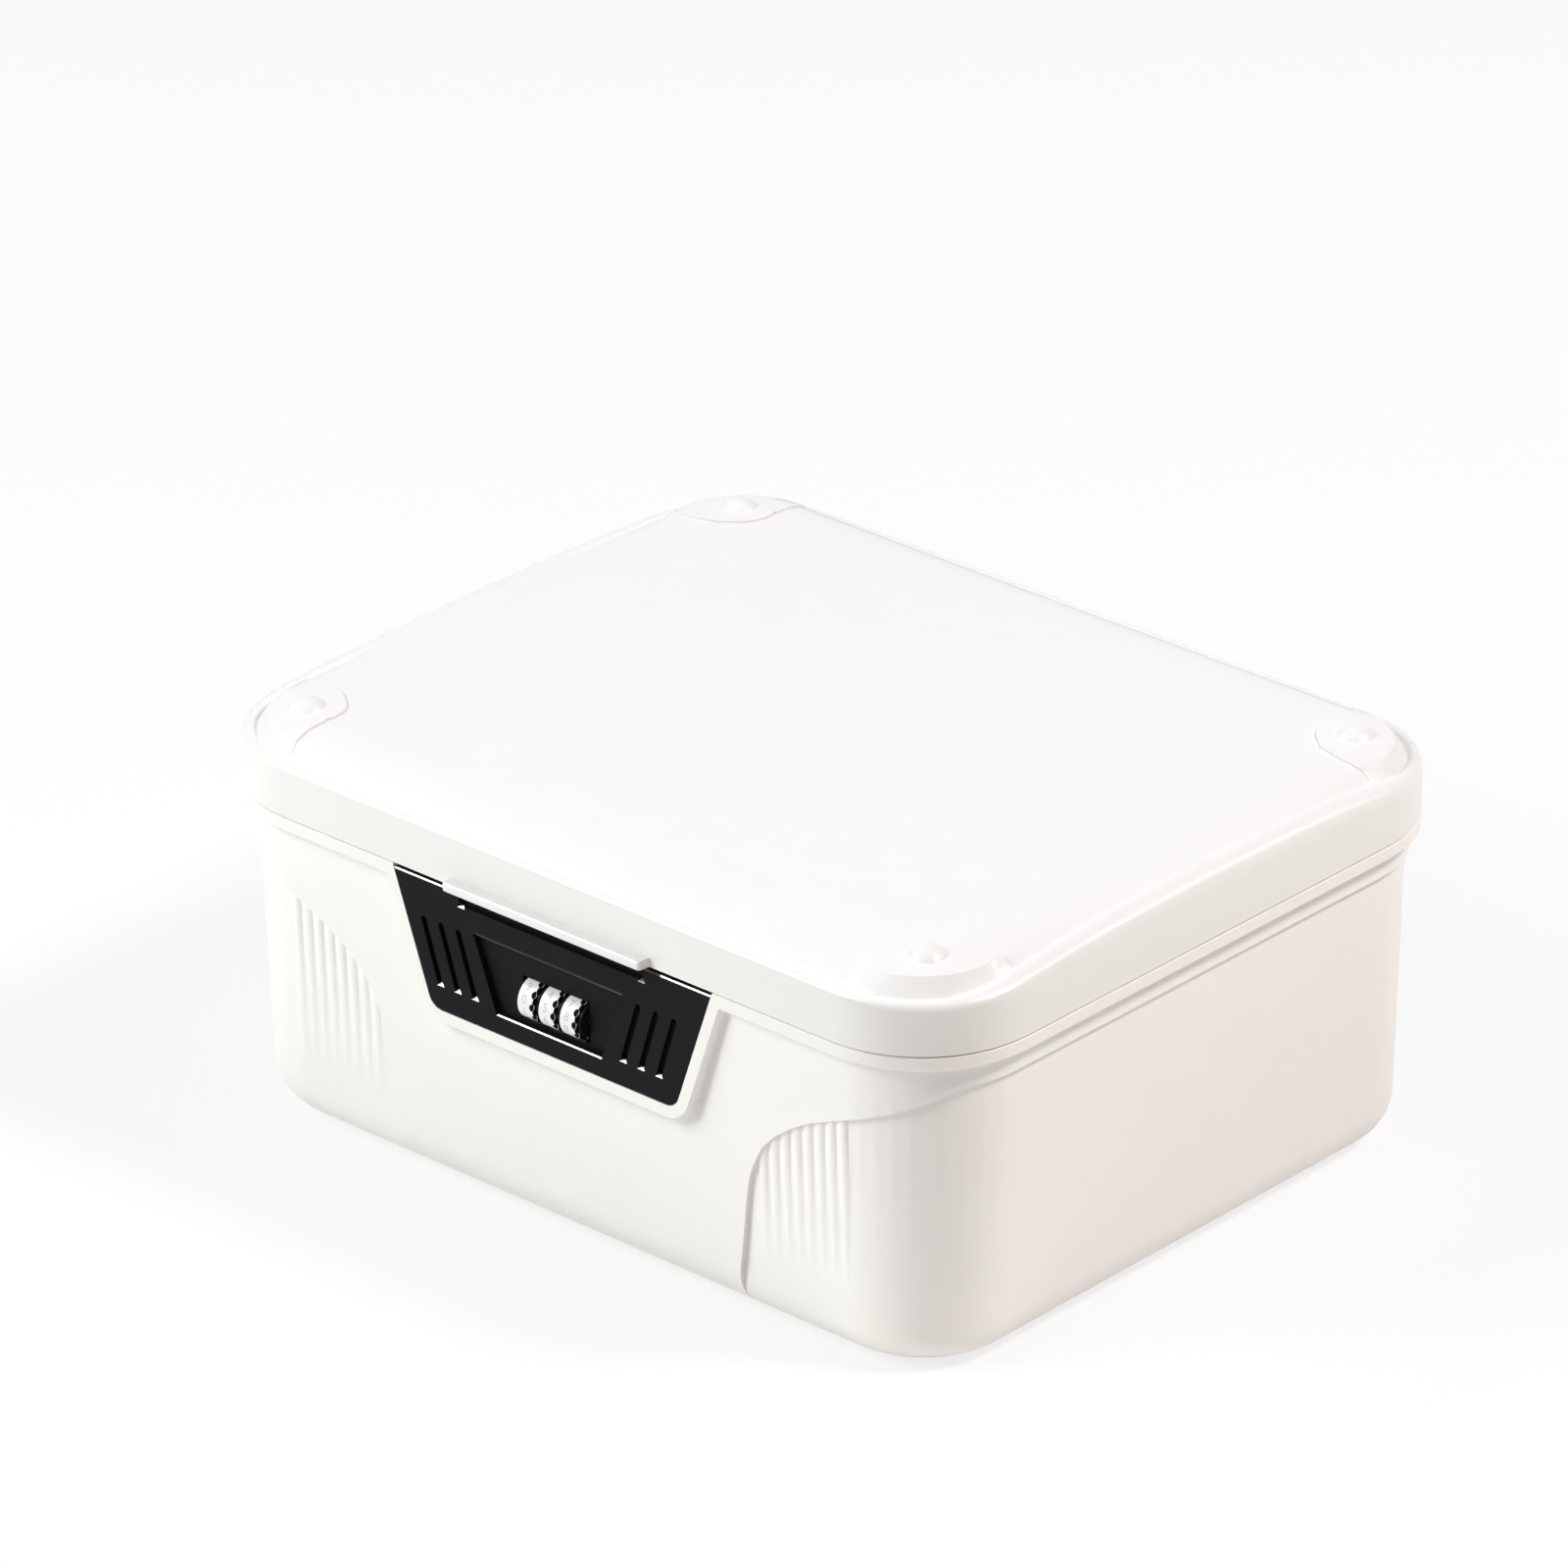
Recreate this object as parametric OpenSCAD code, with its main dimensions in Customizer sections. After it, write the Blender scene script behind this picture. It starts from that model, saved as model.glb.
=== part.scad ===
// Storage box with a hinged lid and a three-dial combination lock.
// Millimetres. Front faces -Y, +Z is up, the origin is the middle of the footprint on the ground.

/* [Box] */
// Width over the rim
box_w = 300; // [240:1:360]
// Depth over the rim, front wall to back wall
box_d = 243.5; // [200:0.5:300]
// Plan radius of the four corners
corner_r = 39.7; // [20:0.1:60]
// Height of the top edge of the base rim
rim_top = 107.4; // [80:0.1:140]
// Visible gap between base rim and lid
part_gap = 0.5; // [0.3:0.1:1.5]

/* [Base] */
// Height of the moulded bottom above the ground
bottom_z = 0.6; // [0.3:0.1:3]
// Height of the lower edge of the rim band
band_low = 103.2; // [95:0.1:106]
// Set-back of the upper band and of the front bib
band_in = 3.3; // [1:0.1:5]
// Height of the step line round the body
step_z = 96; // [85:0.5:102]
// Set-back of the lower body just under the step line
body_in = 4.68; // [3:0.01:8]
// Set-back gained per millimetre of height by the mould draft
draft = 0.028; // [0:0.001:0.06]
// Radius of the bottom fillet
fillet_r = 14.6; // [6:0.1:20]
// Set-back of the inside wall at the rim
inner_in = 7.9; // [6:0.1:12]
// Thickness of the floor
floor_t = 3.5; // [2:0.1:6]
// Spacing of the reeds in the corner pockets
reed_pitch = 4.5; // [3:0.1:8]
// Radius of one reed
reed_r = 2.6; // [1.5:0.1:4]
// Height of a reed at its top end
reed_h = 0.9; // [0.3:0.1:1.5]
// Distance of the innermost reed line from the middle
reed_x = 76.3; // [70:0.1:90]

/* [Lid] */
// Height of the flat panel of the lid
panel_z = 130.3; // [115:0.1:150]
// Step of the corner pads above the crown and the panel
pad_h = 0.6; // [0.3:0.1:2]
// Wall thickness of the lid
lid_wall = 4; // [2.5:0.1:6]
// Underside of the lid panel
ceiling_z = 127; // [110:0.1:145]
// Half width of the pull tab
tab_hw = 39.8; // [25:0.1:60]
// Reach of the pull tab in front of the wall
tab_out = 4.6; // [3:0.1:12]
// Thickness of the pull tab
tab_t = 2.9; // [1.5:0.1:5]
// Distance of the studs from the middle, across the width
stud_x = 124.1; // [100:0.1:140]
// Distance of the studs from the middle, along the depth
stud_y = 95.7; // [80:0.1:110]
// Radius of a stud where it meets its pad
stud_r = 5.5; // [3:0.1:8]
// Height of a stud above its pad
stud_h = 2.6; // [1:0.1:5]

/* [Lock panel] */
// Half width of the black panel at the height of the rim
plate_hw = 63.85; // [50:0.1:80]
// Height of the bottom edge of the black panel
plate_low = 65; // [50:0.5:80]
// Height of the top edge of the black panel
plate_top = 106.5; // [95:0.1:110]
// Sideways lean of the panel edges per millimetre of height
plate_lean = 0.353; // [0:0.001:0.6]
// Bottom corner radius of the black panel
plate_r = 5.5; // [2:0.1:10]
// Thickness of the black panel
plate_t = 5; // [4:0.1:8]
// Width of the frame moulded round the panel
bezel_w = 4.5; // [2:0.1:8]
// Clearance between the panel and its frame
plate_gap = 0.25; // [0.1:0.05:0.6]
// Depth of the recess at its bottom edge
recess_deep = 2.2; // [1:0.1:3]
// Depth of the recess at its top edge
recess_shallow = 1.9; // [0.1:0.05:3]
// Sideways place of the middle of the recess and of the slots
pattern_x = -1.4; // [-3:0.1:3]
// Width of the side slots
slot_w = 2.2; // [1:0.1:3]
// Depth of the side slots
slot_depth = 1.6; // [0.5:0.1:3]

/* [Dials] */
// Spacing of the dials
dial_pitch = 8.5; // [8:0.1:12]
// Width of one dial
dial_w = 5.8; // [5:0.1:7]
// Radius of a dial
dial_r = 6.6; // [6:0.1:9]
// Reach of the dials in front of the panel
dial_out = 2.6; // [1:0.1:4]
// Height of the dial axis
dial_z = 79.9; // [75:0.1:90]
// Positions on one dial
dial_count = 10; // [4:1:12]
// Radius of the dial shaft
shaft_r = 1.5; // [1.2:0.1:2]
// Radial clearance of turning fits
run_gap = 0.06; // [0.02:0.01:0.1]
// Clearance between sliding and neighbouring pieces
slide_gap = 0.3; // [0.2:0.05:0.6]
// Travel of the latch bolt
bolt_travel = 3.2; // [2:0.1:4]
// Travel of the code-reset arm
reset_travel = 2.5; // [1:0.1:3]

/* [Hinge] */
// Distance of the hinges from the middle
hinge_x = 85; // [50:1:110]
// Radius of the hinge knuckles
knuckle_r = 3; // [2.5:0.1:5]
// Radius of the hinge pins
pin_r = 1.25; // [1:0.05:2]
// Half length of the lid knuckle
knuckle_hl = 10; // [6:0.5:20]
// Length of each base knuckle
knuckle_l = 12; // [6:0.5:20]

/* [Screws and feet] */
// Radius of the housing screws
screw_r = 1.25; // [1:0.05:2]
// Radius of the cover screws
cover_screw_r = 1; // [0.8:0.05:1.5]
// Radius of the feet
foot_r = 7; // [4:0.5:12]

/* [Node] */
// Piece to draw

/* [Hidden] */
$fn = 72;
hw = box_w / 2;
hd = box_d / 2;
front_y = -hd;
lid_z = rim_top + part_gap;
hinge_y = hd + tab_out - knuckle_r;
hinge_z = rim_top + part_gap / 2;
pin_hl = knuckle_hl + knuckle_l;
arc_steps = 10;
pad_z = panel_z + pad_h;
eave_z = lid_z + 10.6;
knuckle_gap = 0.35;
knuckle_side_gap = 0.4;
bead = 0.3;
tongue_in = 2.75;
tongue_l = 2.1;
groove_in = tongue_in - 0.4;
groove_out = lid_wall + 0.9;
groove_d = 2.5;
bezel_lean = sqrt(1 + plate_lean * plate_lean);
bezel_hw = plate_hw + bezel_w * bezel_lean;
bezel_deep = 9.75;
bezel_low = plate_low - bezel_w - 0.2;
pocket_y = front_y + plate_t;
window_hx = 34;
window_low = 66;
window_top = 97;
dial_y = front_y - dial_out + dial_r;
relief_r = dial_r + 0.4;
relief_hx = 1.5 * dial_pitch + 0.6;
facet_r = 1.5;
facet_out = 0.15;
facet_rise = 1.5;
facet_low = 72.85;
ledge_cut = 0.4;
lip_z = 72.4;
lip_turn = 30;
cut_l = 5;
crest_h = 1;
crest_turn = 25;
recess_top = 94.5;
recess_low = 71.3;
recess_hw_top = 30;
recess_hw_low = 21.3;
recess_tilt = atan((recess_deep - recess_shallow) / (recess_top - recess_low));
slot_x = 29.85;
slot_step = 7.1;
slot_low = 73.4;
slot_high = 93;
slot_lean = 6.3;
scoop_low = 102.4;
scoop_hw = 37.3;
scoop_depth = 1.6;
edge_cut = 0.4;
housing_y = front_y + 9.45;
housing_l = 13.8;
housing_back = housing_y + housing_l;
flange_t = 2.5;
flange_hx = 43;
flange_low = 67.5;
flange_top = 101.5;
wall_in = 15.5;
wall_out = 18;
wall_low = 68;
wall_top = 95.3;
wall_t = 2;
ear_x = 15.65;
ear_t = 2.7;
ear_y = dial_y - 0.85;
ear_hz = 3.5;
ear_gap = 0.3;
post_x = 20.8;
post_zs = [71.5, 91.8];
post_r = 3;
cover_t = 1.6;
screw_x = 38;
screw_zs = [72, 97];
boss_r = 3;
seat_r = 5.2;
seat_y = housing_y - 0.05;
head_r = 2.6;
head_t = 1.6;
housing_screw_l = 8.4;
cover_screw_l = 8;
striker_screw_l = 7;
sleeve_r = 3.6;
cam_r = 5.2;
cam_t = 1;
cam_x = dial_w / 2 + 0.25;
bolt_z = dial_z + 9.3;
bolt_t = 2.5;
bolt_w = 6;
finger_y = housing_y - 0.9;
finger_l = 3.3;
finger_low = dial_z + 3.2;
finger_t = 0.8;
gate_turn = atan2(finger_y - dial_y, finger_low - dial_z);
bolt_hx = 15.2;
bolt_front = housing_y + slide_gap;
nose_hx = 5.5;
nose_gap = 0.7;
striker_y = housing_back + cover_t + 1.3;
striker_t = 2;
nose_tip = striker_y + striker_t - 0.4 - bolt_travel;
striker_hx = 9;
striker_low = bolt_z - 3;
striker_top = 122;
striker_screw_x = 5.5;
striker_screw_z = 117;
block_hx = 14;
block_d = 7;
block_low = 111;
shaft_right = 22;
shaft_left = -31.1;
clip_r = shaft_r + 0.7;
clip_end = shaft_left + 1.45 + reset_travel + 0.3;
arm_x = 19;
arm_w = 3;
arm_hz = 1.7;
arm_end_hz = 3;
arm_end_l = 3.4;
arm_y = dial_y - 1;
arm_room = 5.5;
arm_back = housing_back - arm_room;
thumb_hz = 4.5;
foot_x = 105;
foot_y = 76;
foot_h = 1.7;

// Every level of a loft is a pair of tables: set-back and height against the place u on the rim.
// u runs from 0 at the middle of the front or back, 1 and 2 at the ends of a corner arc,
// to 3 at the middle of a side.
function same(v) = [[0, v], [3, v]];
function shifted(table, v) = [for (p = table) [p[0], p[1] + v]];
function mixed(a, b, f) = [for (u = quarter) [u, (1 - f) * lookup(u, a) + f * lookup(u, b)]];

quarter = concat(
    [0, 0.5],
    [for (k = [0:arc_steps]) 1 + k / arc_steps],
    [for (k = [1:8]) 2 + k / 8]
);
quarter_back = [for (k = [len(quarter) - 2:-1:1]) quarter[k]];
rim_stations = concat(
    [for (u = quarter) [u, 1, -1]],
    [for (u = quarter_back) [u, 1, 1]],
    [for (u = quarter) [u, -1, 1]],
    [for (u = quarter_back) [u, -1, -1]]
);

function rim_angle(u) = u <= 1 ? 0 : u >= 2 ? 90 : (u - 1) * 90;
function rim_x(u) = (u <= 1 ? u : 1) * (hw - corner_r);
function rim_y(u) = (u >= 2 ? 3 - u : 1) * (hd - corner_r);
function rim_point(u, inset) = [
    rim_x(u) + sin(rim_angle(u)) * (corner_r - inset),
    rim_y(u) + cos(rim_angle(u)) * (corner_r - inset)
];
function level_ring(level) = [
    for (s = rim_stations)
        let (p = rim_point(s[0], lookup(s[0], level[0])))
            [s[1] * p[0], s[2] * p[1], lookup(s[0], level[1])]
];

module loft(levels) {
    n = len(rim_stations);
    m = len(levels);
    points = [for (level = levels) each level_ring(level)];
    sides = [
        for (j = [0:m - 2], i = [0:n - 1])
            let (a = j * n + i, d = j * n + (i + 1) % n, b = a + n, c = d + n)
                each [[a, b, c], [a, c, d]]
    ];
    // Both ends are closed by a fan round a middle point
    bottom = [for (i = [0:n - 1]) [n * m, i, (i + 1) % n]];
    top = [for (i = [0:n - 1]) [n * m + 1, (m - 1) * n + (i + 1) % n, (m - 1) * n + i]];
    middles = [for (level = [levels[0], levels[m - 1]]) [0, 0, lookup(0, level[1])]];
    polyhedron(points = concat(points, middles), faces = concat(bottom, sides, top), convexity = 6);
}

// Rounded rectangle with the rim outline moved in by the given amount.
module rim_2d(inset) {
    r = corner_r - inset;
    square([2 * (hw - corner_r), 2 * (hd - inset)], center = true);
    square([2 * (hw - inset), 2 * (hd - corner_r)], center = true);
    for (x = [-1, 1], y = [-1, 1])
        translate([x * (hw - corner_r), y * (hd - corner_r)])
            circle(r = r);
}

// Draws a shape given in X and Z and extrudes it towards -Y, from y_back over the depth.
module upright(y_back, depth) {
    translate([0, y_back, 0])
        rotate([90, 0, 0])
            linear_extrude(height = depth)
                children();
}

// Cylinder along -Y, from y_back over the length.
module rod_y(x, y_back, z, r, length) {
    translate([x, y_back, z])
        rotate([90, 0, 0])
            cylinder(r = r, h = length);
}

// Cylinder along X between two values of x.
module rod_x(x0, x1, y, z, r) {
    translate([x0, y, z])
        rotate([0, 90, 0])
            cylinder(r = r, h = x1 - x0);
}

module block(x0, x1, y0, y1, z0, z1) {
    translate([x0, y0, z0])
        cube([x1 - x0, y1 - y0, z1 - z0]);
}

// Half width of the panel edge at a height.
function plate_edge(z) = plate_hw - plate_lean * (rim_top - z);

// Trapezoid that is wider at the top, with rounded bottom corners.
module plaque_2d(hw_top, z_top, z_low, r) {
    hw_low = hw_top - plate_lean * (z_top - z_low);
    middle = [hw_low - r * (bezel_lean - plate_lean), z_low + r];
    turn = 90 - atan(plate_lean);
    corner = [for (k = [0:8]) middle + r * [cos(k / 8 * turn - 90), sin(k / 8 * turn - 90)]];
    mirrored = [for (k = [8:-1:0]) [-corner[k][0], corner[k][1]]];
    polygon(concat(corner, [[hw_top, z_top], [-hw_top, z_top]], mirrored));
}

// One round of corner cutting makes a smooth curve from few points.
function smooth(p) = concat(
    [p[0]],
    [for (i = [0:len(p) - 2]) each [0.75 * p[i] + 0.25 * p[i + 1], 0.25 * p[i] + 0.75 * p[i + 1]]],
    [p[len(p) - 1]]
);

function body_inset(z) = body_in + draft * (step_z - z);

bib_edge = smooth([
    [67.5, 0], [68.7, 11.5], [71, 27.5], [72.7, 42.5], [74.7, 52.5], [80.7, 63.5],
    [93.7, 73.5], [106.7, 79.5], [121, 84.7], [131, 89.2], [138, 93], [143, step_z], [hw + 10, step_z]
]);

module bib_2d() {
    mirrored = [for (i = [len(bib_edge) - 1:-1:0]) [-bib_edge[i][0], bib_edge[i][1]]];
    polygon(concat(bib_edge, [[hw + 10, lid_z + 12], [-hw - 10, lid_z + 12]], mirrored));
}

function fillet_levels(inset, z0, r, steps) = [
    for (k = [0:steps])
        let (a = 90 * k / steps)
            [same(inset + r * (1 - sin(a))), same(z0 + r * (1 - cos(a)))]
];

module base_body() {
    low_in = body_inset(fillet_r);
    loft(concat(
        fillet_levels(low_in, bottom_z, fillet_r - bottom_z, 7),
        [[same(body_in), same(step_z)], [same(body_in + 1), same(step_z + 1)]]
    ));
    intersection() {
        bib_in = low_in - 1.9;
        loft(concat(
            fillet_levels(bib_in, bottom_z + 0.2, fillet_r + 2.6, 7),
            [
                [same(band_in), same(step_z)],
                [same(band_in), same(band_low - 0.4)],
                [same(bead), same(band_low)],
                [same(0), same(band_low + bead)],
                [same(0), same(rim_top - bead)],
                [same(bead), same(rim_top)]
            ]
        ));
        union() {
            upright(0, hd + 5) bib_2d();
            block(-hw - 5, hw + 5, -1, hd + 5, step_z, rim_top + 5);
        }
    }
}

module bezel() {
    hull() {
        upright(front_y + bezel_deep, bezel_deep - 0.6)
            plaque_2d(bezel_hw, rim_top - bead, bezel_low, plate_r + bezel_w);
        upright(front_y + bezel_deep, bezel_deep)
            plaque_2d(bezel_hw - 0.6, rim_top - bead, bezel_low + 0.6, plate_r + bezel_w - 0.6);
    }
}

module reeds() {
    z_low = 21;
    for (s = [-1, 1], k = [0:7]) {
        x = reed_x + reed_pitch * (k + 0.5);
        z_top = lookup(x, bib_edge) + 3;
        y_low = front_y + body_inset(z_low) + reed_r + 0.05;
        y_top = front_y + body_inset(z_top) + reed_r - reed_h;
        lean = atan((y_low - y_top) / (z_top - z_low));
        translate([s * x, y_low, z_low])
            rotate([lean, 0, 0])
                cylinder(r = reed_r, h = (z_top - z_low) / cos(lean));
    }
}

module base_knuckle_2d() {
    polygon([
        [hd - 1.6, rim_top - 0.1], [hinge_y, hinge_z], [hinge_y + knuckle_r - 0.3, hinge_z - 1.2],
        [hd - 0.5, rim_top - 8.5], [hd - band_in - 1, rim_top - 8.5]
    ]);
}

module lid_knuckle_2d() {
    polygon([
        [hd - 1.6, lid_z + 0.1], [hinge_y, hinge_z], [hinge_y + knuckle_r - 0.3, hinge_z + 1.2],
        [hd - 0.5, lid_z + 8.5], [hd - 1.6, lid_z + 8.5]
    ]);
}

// Extrudes a shape given in Y and Z along X.
module along_x(x0, x1) {
    translate([x0, 0, 0])
        rotate([90, 0, 90])
            linear_extrude(height = x1 - x0)
                children();
}

module base_shell() {
    color([0.93, 0.92, 0.89])
    difference() {
        union() {
            difference() {
                union() {
                    base_body();
                    bezel();
                    reeds();
                }
                loft([
                    [same(inner_in + 11.3), same(bottom_z + floor_t)],
                    [same(inner_in + 5.6), same(bottom_z + floor_t + 2.2)],
                    [same(inner_in + 3), same(bottom_z + floor_t + 6)],
                    [same(inner_in + 2.3), same(bottom_z + floor_t + 10)],
                    [same(inner_in), same(rim_top + 1)]
                ]);
                for (s = [-1, 1])
                    rod_x(s * hinge_x - knuckle_hl - knuckle_side_gap,
                        s * hinge_x + knuckle_hl + knuckle_side_gap,
                        hinge_y, hinge_z, knuckle_r + knuckle_gap);
            }
            for (x = [-screw_x, screw_x], z = screw_zs)
                rod_y(x, seat_y, z, seat_r, seat_y - pocket_y - 0.5);
            for (s = [-1, 1], t = [-1, 1]) {
                x0 = s * hinge_x + t * (knuckle_hl + knuckle_side_gap + knuckle_l / 2) - knuckle_l / 2;
                along_x(x0, x0 + knuckle_l) base_knuckle_2d();
                rod_x(x0, x0 + knuckle_l, hinge_y, hinge_z, knuckle_r);
            }
        }
        // Groove for the lid tongue
        translate([0, 0, rim_top - groove_d])
            linear_extrude(height = groove_d + 1)
                difference() {
                    rim_2d(groove_in);
                    rim_2d(groove_out);
                }
        // Pocket, opening and boss holes for the lock panel
        upright(pocket_y, plate_t + 1)
            plaque_2d(plate_edge(rim_top + 1) + plate_gap, rim_top + 1, plate_low - plate_gap, plate_r);
        block(-window_hx, window_hx, front_y, housing_back, window_low, window_top);
        for (x = [-screw_x, screw_x], z = screw_zs)
            rod_y(x, housing_y + 1, z, boss_r + 0.25, 20);
        for (s = [-1, 1])
            rod_x(s * hinge_x - pin_hl - 2, s * hinge_x + pin_hl + 2, hinge_y, hinge_z, pin_r + 0.01);
        for (x = [-foot_x, foot_x], y = [-foot_y, foot_y])
            translate([x, y, 0])
                cylinder(r = foot_r + 0.2, h = foot_h + 0.05);
    }
}

// Ridge, wall and crown of the lid: set-back and height against the place on the rim.
ridge_in = smooth([[0, 0.5], [1, 0.6], [1.3, 1.1], [1.7, 1.9], [2, 4.2], [3, 5.1]]);
ridge_z = smooth(smooth([[0, 123.95], [1, 124.05], [1.7, 124.2], [2, 126.2], [2.4, 128.3], [3, 129.1]]));
wall_top_z = smooth([[0, 123.2], [1, 123], [1.3, 121.8], [1.7, 121.4], [2, 121.8], [3, 122.6]]);
valley_z = shifted(ridge_z, -0.25);
crown_in = smooth([[0, 10], [1, 9.6], [1.3, 8.4], [1.7, 8.6], [2, 11], [3, 11.3]]);
crown_z = [[0, 128.6], [1, 128.6], [2, 128.9], [3, 129.4]];
ridge_w = 3;
crown_run = 12;

module lid_crown() {
    loft([
        [same(0), same(lid_z)],
        [same(0), wall_top_z],
        [mixed(same(0), ridge_in, 0.12), mixed(wall_top_z, ridge_z, 0.4)],
        [mixed(same(0), ridge_in, 0.42), mixed(wall_top_z, ridge_z, 0.75)],
        [ridge_in, ridge_z],
        [shifted(ridge_in, 0.3 * ridge_w), shifted(ridge_z, 0.35)],
        [shifted(ridge_in, 0.6 * ridge_w), shifted(ridge_z, 0.3)],
        [shifted(ridge_in, ridge_w), valley_z],
        [crown_in, crown_z],
        [shifted(crown_in, 0.4 * crown_run), mixed(crown_z, same(panel_z), 0.6)],
        [shifted(crown_in, crown_run), same(panel_z)]
    ]);
}

// S-shaped edge of a pad from the front ridge to the round part beside its stud.
pad_edge = smooth([[110.3, 126], [110.6, 120.5], [112.2, 113], [113.2, 106], [112.6, 100]]);
pad_inner_r = 11.5;

module pad_2d() {
    polygon(concat(
        pad_edge,
        [[stud_x, stud_y], [stud_x - 7, stud_y - 9.1], [stud_x - 2, stud_y - 13], [stud_x + 6, stud_y - 15],
        [160, stud_y - 15.2], [160, 130]]
    ));
    translate([stud_x, stud_y])
        circle(r = pad_inner_r);
}

module lid_pads() {
    intersection() {
        loft([
            [shifted(ridge_in, ridge_w + 0.2), same(eave_z + 0.5)],
            [shifted(ridge_in, ridge_w + 0.2), shifted(valley_z, 0.2)],
            [crown_in, shifted(crown_z, pad_h)],
            [shifted(crown_in, 0.4 * crown_run), shifted(mixed(crown_z, same(panel_z), 0.6), pad_h)],
            [shifted(crown_in, crown_run), same(pad_z)]
        ]);
        for (x = [0, 1], y = [0, 1])
            mirror([x, 0, 0])
                mirror([0, y, 0])
                    translate([0, 0, 110])
                        linear_extrude(height = 30)
                            pad_2d();
    }
}

module lid_tab() {
    tab_z = lid_z + 0.1;
    edge = 0.4;
    corner = 1.4;
    hull() {
        for (s = [-1, 1], e = [0, 1])
            translate([s * (tab_hw - corner), front_y - tab_out + corner, tab_z + e * edge])
                cylinder(r = corner - (1 - e) * edge, h = tab_t - 2 * e * edge);
        block(-tab_hw, tab_hw, front_y, front_y + 1, tab_z, tab_z + tab_t);
    }
}

module lid_shell() {
    stud_sphere = (stud_r * stud_r + stud_h * stud_h) / (2 * stud_h);
    color([0.97, 0.96, 0.94])
    difference() {
        union() {
            difference() {
                union() {
                    lid_crown();
                    lid_pads();
                    lid_tab();
                    for (x = [-stud_x, stud_x], y = [-stud_y, stud_y])
                        translate([x, y, pad_z + stud_h - stud_sphere])
                            sphere(r = stud_sphere);
                }
                loft([
                    [same(lid_wall), same(lid_z - 1)],
                    [same(lid_wall), same(eave_z)],
                    [same(10.5), same(ceiling_z - 1.4)],
                    [same(20), same(ceiling_z)]
                ]);
                for (s = [-1, 1], t = [-1, 1]) {
                    x0 = s * hinge_x + t * (knuckle_hl + knuckle_side_gap + knuckle_l / 2) - knuckle_l / 2;
                    rod_x(x0 - knuckle_side_gap, x0 + knuckle_l + knuckle_side_gap,
                        hinge_y, hinge_z, knuckle_r + knuckle_gap);
                }
            }
            // Tongue that drops into the groove of the base rim, left out over the lock panel
            translate([0, 0, lid_z - tongue_l - part_gap])
                linear_extrude(height = tongue_l + part_gap + 2)
                    difference() {
                        rim_2d(tongue_in);
                        rim_2d(lid_wall);
                        translate([0, front_y])
                            square([2 * plate_hw + 6, 12], center = true);
                    }
            block(-block_hx, block_hx, striker_y + striker_t, striker_y + striker_t + block_d,
                block_low, ceiling_z + 1);
            for (s = [-1, 1]) {
                along_x(s * hinge_x - knuckle_hl, s * hinge_x + knuckle_hl) lid_knuckle_2d();
                rod_x(s * hinge_x - knuckle_hl, s * hinge_x + knuckle_hl, hinge_y, hinge_z, knuckle_r);
            }
        }
        for (s = [-1, 1])
            rod_x(s * hinge_x - pin_hl, s * hinge_x + pin_hl, hinge_y, hinge_z, pin_r + run_gap);
        for (x = [-striker_screw_x, striker_screw_x])
            rod_y(x, striker_y + striker_t + 5.2, striker_screw_z, screw_r + 0.05, 8);
    }
}

module recess() {
    intersection() {
        upright(pocket_y, plate_t + 2)
            polygon([
                [-recess_hw_low, recess_low], [recess_hw_low, recess_low],
                [recess_hw_top, recess_top], [-recess_hw_top, recess_top]
            ]);
        translate([0, front_y + recess_deep, recess_low])
            rotate([recess_tilt, 0, 0])
                translate([-40, -20, -5])
                    cube([80, 20, 40]);
    }
}

// Round facet in the face of the panel that looks up and to the front.
module glint_facet(x, z) {
    translate([x, front_y - facet_out, z - facet_out])
        rotate([45, 0, 0])
            cylinder(r = facet_r, h = cut_l, $fn = 36);
}

// Slot that leans outwards, with a facet at its lower end.
module side_slot(x) {
    run = atan(slot_lean / (slot_high - slot_low));
    length = (slot_high - slot_low) / cos(run);
    start = facet_rise / cos(run);
    glint_facet(x, facet_low);
    translate([x, front_y + slot_depth, slot_low])
        rotate([0, run, 0]) {
            rod_y(0, 0, start, slot_w / 2, cut_l);
            rod_y(0, 0, length, slot_w / 2, cut_l);
            block(-slot_w / 2, slot_w / 2, -cut_l, 0, start, length);
        }
}

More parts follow.
